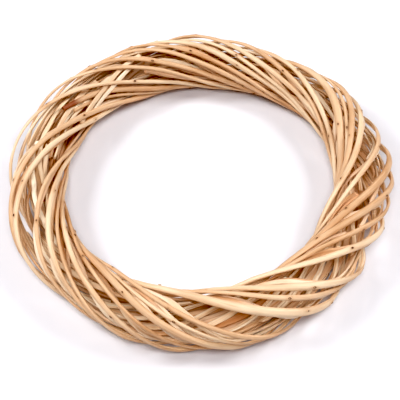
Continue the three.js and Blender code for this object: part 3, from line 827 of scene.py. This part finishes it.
def drawn_path(draw, family, number):
    """A path of a strip: its angles round the ring and, at each of them, round the tube"""
    first, last = family["ring"]
    span = draw.uniform(*family["span"])
    start = draw.uniform(first, last - span)
    swing = 0
    if "side_by_side" in family:
        start = first + (last - first - span) * (number + START_JITTER * draw.random()) / family["count"]
        swing = START_SWING * math.sin(math.radians(start))
    pitch = draw.uniform(*family["pitch"]) * (1 if draw.random() < family["other_way"] else -1)
    ring = np.arange(start, start + span, 360 / RING_CELLS)
    around = draw.uniform(*family["around"]) + (ring - start) * 360 / pitch + swing
    return ring, around


def lining_courses(courses):
    """Lays the narrow strips one after another, each on the roomiest of a few paths"""
    hollow = Hollow(courses)
    draw = random.Random(LINING_SEED)
    laid = {}
    for family in LINING:
        waiting = []
        for number in range(family["count"]):
            width = draw.uniform(*family["width"]) * MM
            paths = []
            for _ in range(family["tries"]):
                ring, around = drawn_path(draw, family, number)
                paths.append((ring, around, hollow.room(ring % 360, around, width)))
            ring, around, reach = max(paths, key=lambda path: path[2].mean())
            ends_early = "side_by_side" in family and number % 2
            kept = roomy_stretch(reach, GREATER_REACH if ends_early else LESSER_REACH)
            if kept.stop - kept.start < LEAST_CELLS:
                continue
            ring, around, reach = (values[kept][::SECTION_EVERY] for values in (ring, around, reach))
            course = hollow.course(ring % 360, around, reach, width)
            laid[f"{family['name']}_{number + 1:02d}"] = course
            if "side_by_side" in family:
                waiting.append(course)
            else:
                hollow.fill(hollow.samples(course))
        # Strips side by side fill the hollow only when all of them are laid
        for course in waiting:
            hollow.fill(hollow.samples(course))
    return laid


# Materials

BARK_PALE = (0.77, 0.59, 0.415, 1)
BARK = (0.655, 0.435, 0.275, 1)
BARK_ORANGE = (0.52, 0.295, 0.16, 1)
FLESH_PALE = (0.94, 0.82, 0.65, 1)
FLESH = (0.90, 0.67, 0.455, 1)
FLESH_GREY = (0.60, 0.375, 0.22, 1)
PITH = (0.42, 0.22, 0.09, 1)
SCAR_BROWN = (0.085, 0.03, 0.012, 1)
STAIN_BROWN = (0.27, 0.10, 0.055, 1)
# The brown painted as shade on wood inside the tube
PAINTED_SHADE_BROWN = (0.50, 0.215, 0.085, 1)
# How quickly each pattern of the wood changes across the grain and along it, per metre
BANDS = (700, 9)
STREAKS = (1500, 42)
PATCHES = (90, 24)
FINE_GRAIN = (5200, 150)
# How far the patterns shift between the palest and the warmest rod
TONE_SHIFT = (73, 31, 57)
# How strongly the round side is coloured by its orange and its pale streaks, by its edges and by its buds.
# The orange at the edges is partly bark left there and partly painted shade on the flanks
ORANGE_STREAKS = 0.45
PALE_STREAKS = 0.5
ORANGE_EDGES_AND_SHADE = 0.35
ORANGE_BUDS = 0.7
# How strongly the split face is coloured by its grey bands, its fine grain and its pith, whose half width
# comes last
GREY_BANDS = 0.6
GREY_GRAIN = 0.45
PITH_SHARE = 0.7
PITH_WIDTH = 0.2 * MM
# How brown the painted shade makes the wood where it is deepest
PAINTED_SHADE_SHARE = 0.85
# How rough the round side and the split face are, how far streaks change that, how much both shine, and how
# deep and how strong the relief of the grain is
ROUND_ROUGHNESS = 0.5
FACE_ROUGHNESS = 0.7
STREAK_ROUGHNESS = 0.3
SPECULAR = 0.35
GRAIN_DEPTH = 0.12 * MM
GRAIN_STRENGTH = 0.4


def willow(name, round_colours):
    """Willow wood: the round side in its colours, with long streaks, and the pale split face"""
    material = bpy.data.materials.new(name)
    material.use_nodes = True
    nodes = Nodes(material.node_tree)
    shader = material.node_tree.nodes["Principled BSDF"]

    def attribute(key, output="Fac"):
        return nodes.add("ShaderNodeAttribute", attribute_name=key).outputs[output]

    def mix(share, a, b):
        made = nodes.add("ShaderNodeMix", data_type="RGBA")
        nodes.feed(made.inputs[0], share)
        nodes.feed(made.inputs[6], a)
        nodes.feed(made.inputs[7], b)
        return made.outputs[2]

    x, y, z = nodes.separate(attribute("grain", "Vector"))
    tone = attribute("tone")
    offset = nodes.combine(*(nodes.product(tone, shift) for shift in TONE_SHIFT))

    def along_grain(cross, long):
        stretched = nodes.combine(nodes.product(x, cross), nodes.product(y, cross), nodes.product(z, long))
        return nodes.vector_math("ADD", stretched, offset)

    bands = nodes.noise(along_grain(*BANDS), 1.0, 1.0)
    streaks = nodes.noise(along_grain(*STREAKS), 1.0, 3.0, 0.6)
    patches = nodes.noise(along_grain(*PATCHES), 1.0, 2.0)
    fine = nodes.noise(along_grain(*FINE_GRAIN), 1.0, 2.0, 0.7)

    # The round side
    pale, middle, orange = round_colours
    warmth = nodes.sum(nodes.ramp(tone, 0, 1, -0.30, 0.30, smooth=False), patches)
    colour = mix(nodes.ramp(warmth, 0.28, 0.56), pale, middle)
    colour = mix(nodes.ramp(warmth, 0.56, 0.9), colour, orange)
    colour = mix(nodes.product(nodes.ramp(streaks, 0.52, 0.74), ORANGE_STREAKS), colour, orange)
    colour = mix(nodes.product(nodes.ramp(streaks, 0.46, 0.28), PALE_STREAKS), colour, pale)
    # Orange towards the flat face: partly bark left at the edges, partly painted shade on the dome's flanks
    colour = mix(nodes.product(nodes.ramp(attribute("crest"), 0.5, 0.0), ORANGE_EDGES_AND_SHADE), colour, orange)
    round_side = mix(nodes.product(attribute("halo"), ORANGE_BUDS), colour, orange)

    # The split face
    colour = mix(nodes.ramp(bands, 0.36, 0.62), FLESH_PALE, FLESH)
    colour = mix(nodes.product(nodes.ramp(bands, 0.6, 0.74), GREY_BANDS), colour, FLESH_GREY)
    colour = mix(nodes.product(nodes.ramp(fine, 0.5, 0.72), GREY_GRAIN), colour, FLESH_GREY)
    pith = nodes.product(nodes.bell(x, PITH_WIDTH), nodes.ramp(patches, 0.4, 0.6), PITH_SHARE)
    split_face = mix(pith, colour, PITH)

    colour = mix(attribute("face"), round_side, split_face)
    # Painted shade: wood inside the tube is browned, most towards the hole of the ring
    colour = mix(nodes.product(attribute("age"), PAINTED_SHADE_SHARE), colour, PAINTED_SHADE_BROWN)
    colour = mix(attribute("stain"), colour, STAIN_BROWN)
    colour = mix(nodes.ramp(attribute("scar"), 0.2, 0.75), colour, SCAR_BROWN)
    nodes.feed(shader.inputs["Base Color"], colour)

    rough = nodes.ramp(attribute("face"), 0, 1, ROUND_ROUGHNESS, FACE_ROUGHNESS, smooth=False)
    rough = nodes.sum(rough, nodes.product(nodes.less(streaks, 0.5), STREAK_ROUGHNESS))
    nodes.feed(shader.inputs["Roughness"], rough)
    shader.inputs["Specular IOR Level"].default_value = SPECULAR
    height = nodes.sum(streaks, nodes.product(fine, 0.6))
    inputs = {"Strength": GRAIN_STRENGTH, "Distance": GRAIN_DEPTH, "Height": height}
    bump = nodes.add("ShaderNodeBump", inputs)
    nodes.feed(shader.inputs["Normal"], bump.outputs[0])
    return material


# All the rods in place

# The outer rods run out thin on the left of the wreath: by what share, and over what stretch of X
LEFT_THINNING = 0.14
THINNING_STARTS = 15 * MM
THINNING_ENDS = -55 * MM

# How finely each kind of rod is built, and what sets it apart
OUTER_ROD = {"Step": 1.3 * MM, "Sides": 22, "Fullness": 0.90}
INNER_STRIP = {"Step": 2.0 * MM, "Sides": 16, "Dome": 0.55, "Bud height": 0.0, "Scars kept": 0.0}
LAID_STRIP = INNER_STRIP | {"Step": 3.0 * MM, "Sides": 10, "Fibres kept": 0.0}
# The two rods that end in sight, cut straight, and the one whose end is stained
STRAIGHT_CUT = ("outer_rod_04", "outer_rod_10")
STAINED = "outer_rod_04"
# How much painted shade browns the crossing strips, and between what limits it is drawn for others. Less than
# nothing is none.
CROSSING_SHADE = 0.25
PAINTED_SHADES = {
    "lane": (0.6, 1.0), "back": (0.6, 1.0), "deep": (-0.6, 1.0), "inner": (0.4, 0.95), "side": (0.4, 0.95),
}
# How far the shaved flats of an outer rod replace its dome
FLATS = (0.5, 1.0)
ROD_SEED = 7
# What makes one rod's seed from its place in the order of rods
SEED_STEP = 13
FIRST_SEED = 5


def thinned(course):
    """The course of an outer rod, thinner where it passes the left of the wreath"""
    thin = []
    for middle, outward, width, thickness in course:
        share = (THINNING_STARTS - middle[0]) / (THINNING_STARTS - THINNING_ENDS)
        share = 1 - LEFT_THINNING * min(max(share, 0), 1)
        thin.append((middle, outward, width * share, thickness))
    return thin


def make_rods():
    tree = rod_tree()
    scar = make_scar()
    fibre = make_fibre()
    peeled = willow("peeled_willow", (BARK_PALE, BARK, BARK_ORANGE))
    split = willow("split_willow", (FLESH_PALE, BARK_PALE, BARK))
    draw = random.Random(ROD_SEED)
    courses = {}
    for name in sorted(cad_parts):
        sides = OUTER_SIDES if name.startswith("outer") else STRIP_SIDES
        courses[name] = read_course(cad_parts[name], sides)
    courses.update(lining_courses(list(courses.values())))
    for index, (name, course) in enumerate(courses.items()):
        kind = name.split("_")[0]
        outer = kind == "outer"
        values = {"Seed": index * SEED_STEP + FIRST_SEED, "Tone": draw.random(), "Scar": scar, "Fibre": fibre}
        if outer:
            course = thinned(course)
            values |= OUTER_ROD | {"Material": peeled, "Facets": draw.uniform(*FLATS)}
        else:
            values |= INNER_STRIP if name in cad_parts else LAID_STRIP
            values["Material"] = split
        # Painted shade for the strips inside the tube, drawn for each kind
        if kind in PAINTED_SHADES:
            values["Age"] = max(0.0, draw.uniform(*PAINTED_SHADES[kind]))
        if kind == "crossing":
            values["Age"] = CROSSING_SHADE
        if name in STRAIGHT_CUT:
            values["Oblique cut"] = 0.0
        if name == STAINED:
            values["End stain"] = 1.0
        rod = grow(name + "_willow", course_mesh(name + "_course", course), tree, values)
        rod.data.shade_smooth()
        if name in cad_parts:
            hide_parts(name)
        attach(rod, "root")
    bpy.data.node_groups.remove(tree)
    for pattern in (scar, fibre):
        bpy.data.meshes.remove(pattern.data)


make_rods()


# Floor and light

FLOOR_SIZE = 30
PAPER = (0.74, 0.73, 0.765, 1)
PAPER_ROUGHNESS = 0.9
# How far from the middle of the wreath the paper starts to glow, where the glow is full, and how strong it is
# then
GLOW_FROM = 0.5
GLOW_TO = 1.7
GLOW = 0.95
# The softboxes: where each stands, its size and its power
SOFTBOXES = {
    "left_softbox": ((-0.85, 0.15, 0.9), 0.45, 13.5),
    "right_softbox": ((0.85, 0.15, 0.9), 0.45, 12.0),
    "front_softbox": ((0.0, -0.6, 1.1), 0.4, 11),
}
ROOM_COLOUR = (1.0, 0.90, 0.95, 1)
ROOM_STRENGTH = 0.11
EXPOSURE = -0.52
BLACK_LEVEL = (0.042, 0.068, 0.072)


def make_stage():
    bpy.ops.mesh.primitive_plane_add(size=FLOOR_SIZE, location=(0, 0, 0))
    floor = bpy.context.object
    floor.name = "floor"
    material = bpy.data.materials.new("floor")
    material.use_nodes = True
    shader = material.node_tree.nodes["Principled BSDF"]
    shader.inputs["Base Color"].default_value = PAPER
    shader.inputs["Roughness"].default_value = PAPER_ROUGHNESS
    # Beyond the reach of the softboxes the paper glows, so that it stays pale up to the horizon
    nodes = Nodes(material.node_tree)
    place = nodes.add("ShaderNodeTexCoord").outputs["Object"]
    far = nodes.ramp(nodes.vector_math("LENGTH", place), GLOW_FROM, GLOW_TO, 0.0, GLOW)
    nodes.feed(shader.inputs["Emission Strength"], far)
    floor.data.materials.append(material)


def area_light(name, place, size, watts):
    data = bpy.data.lights.new(name, "AREA")
    data.size = size
    data.energy = watts
    light = bpy.data.objects.new(name, data)
    light.location = place
    light.rotation_euler = (-Vector(place)).to_track_quat("-Z", "Y").to_euler()
    bpy.context.scene.collection.objects.link(light)


def make_light():
    world = bpy.data.worlds.new("studio")
    world.use_nodes = True
    background = world.node_tree.nodes["Background"]
    background.inputs["Color"].default_value = ROOM_COLOUR
    background.inputs["Strength"].default_value = ROOM_STRENGTH
    bpy.context.scene.world = world
    for name, settings in SOFTBOXES.items():
        area_light(name, *settings)


make_stage()
make_light()
view = bpy.context.scene.view_settings
view.view_transform = "Standard"
view.look = "Medium High Contrast"
view.exposure = EXPOSURE
view.use_curve_mapping = True
view.curve_mapping.black_level = BLACK_LEVEL
